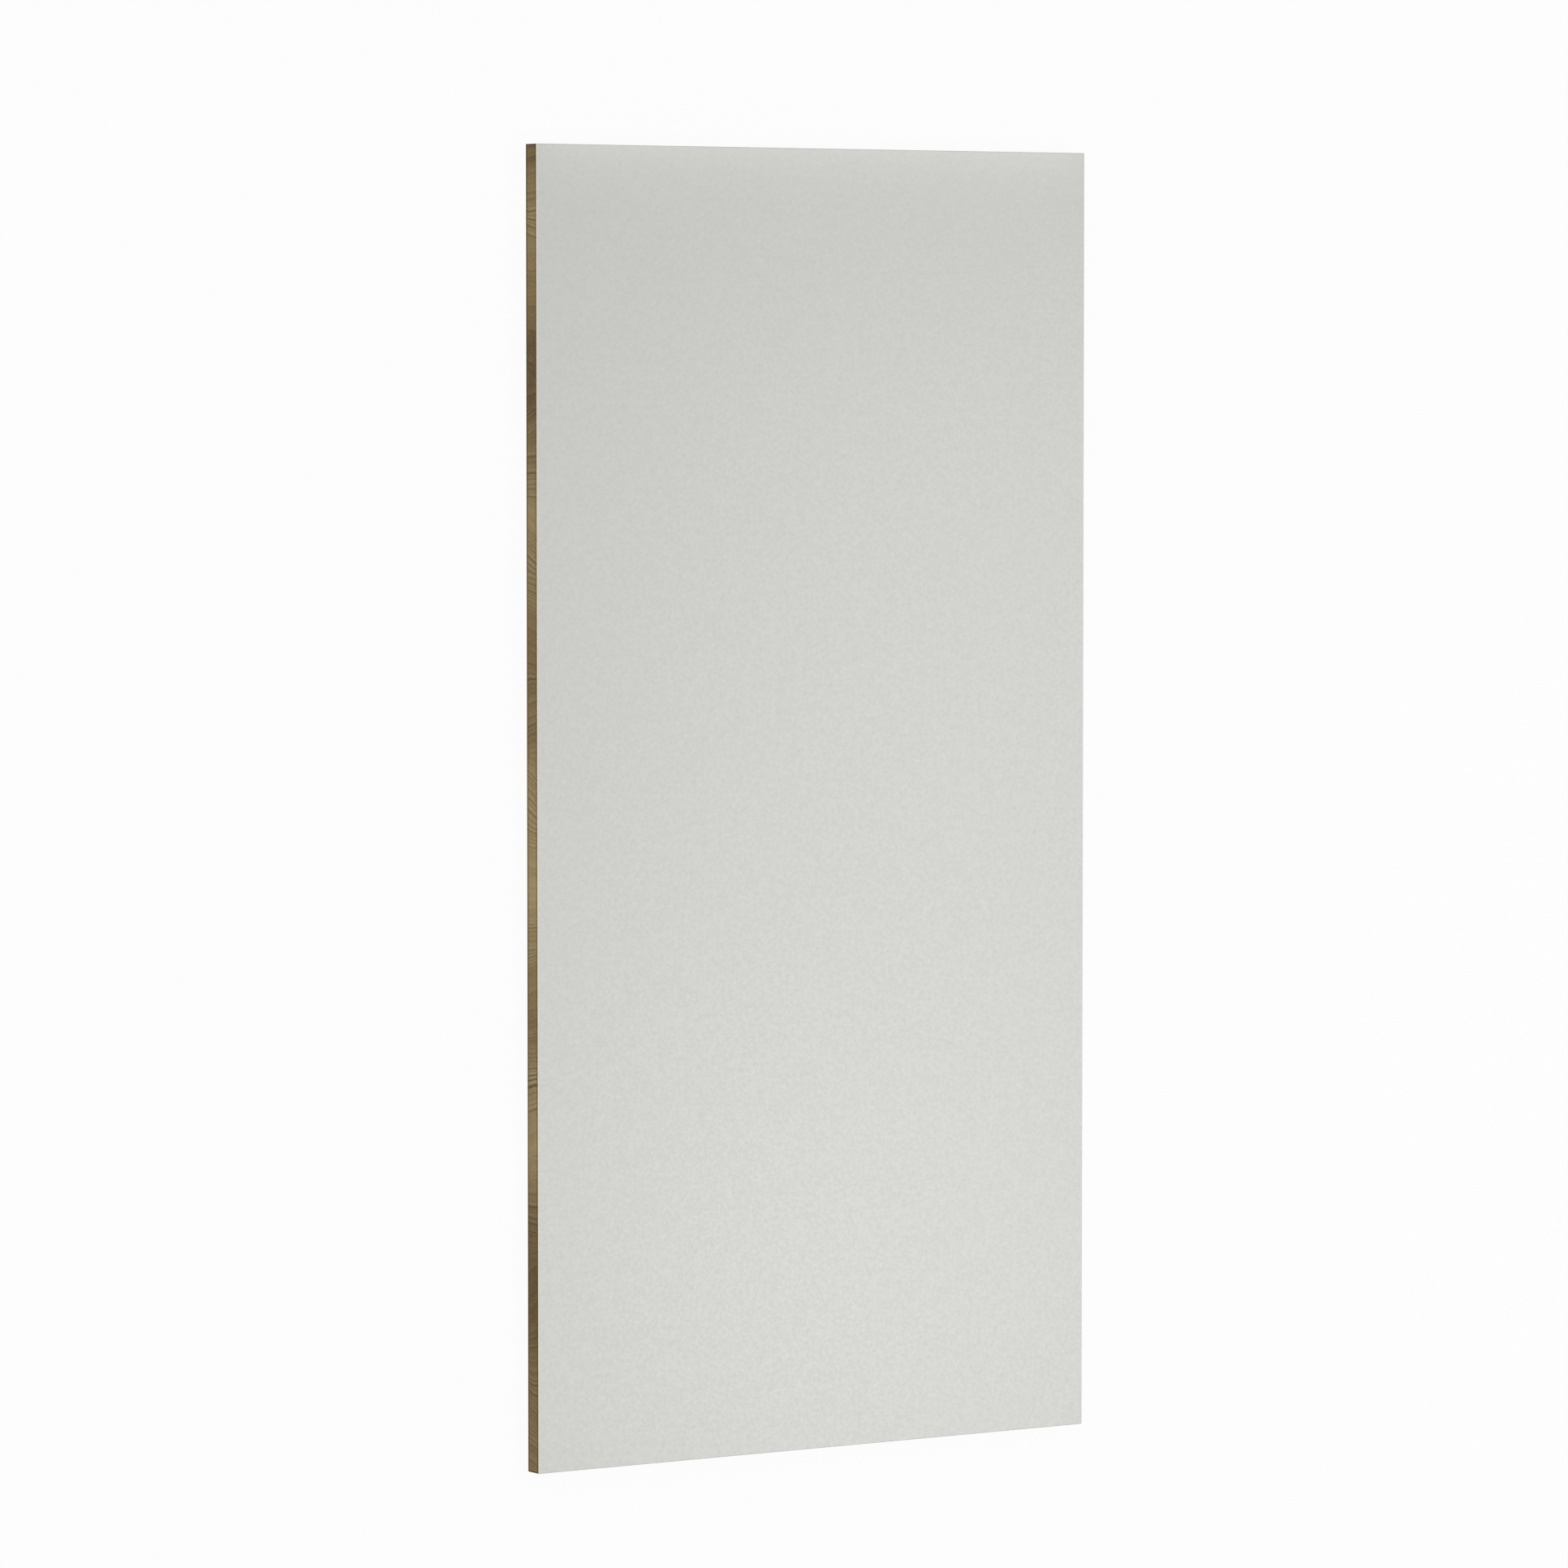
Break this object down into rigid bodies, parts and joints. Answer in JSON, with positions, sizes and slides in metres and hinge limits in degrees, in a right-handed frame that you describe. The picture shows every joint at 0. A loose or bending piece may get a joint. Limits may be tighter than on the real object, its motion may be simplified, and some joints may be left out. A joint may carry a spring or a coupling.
{
  "type": "decorative laminate sheet",
  "caption": "Flat rectangular decorative laminate sheet: a thin pale grey matt laminate bonded flush to a thick wood core, for wall panels, doors and furniture.",
  "frame": {"origin": "centre of the back face, on the floor that the sheet lies on", "axes": "+X across the width, +Y along the length, +Z out of the decorative face"},
  "size_m": [1.2192, 2.4384, 0.038],
  "materials": {
    "wood": "matte",
    "laminate": "matte"
  },
  "bodies": {
    "root": {"wood_core": "wood", "face_laminate": "laminate"}
  },
  "joints": []
}
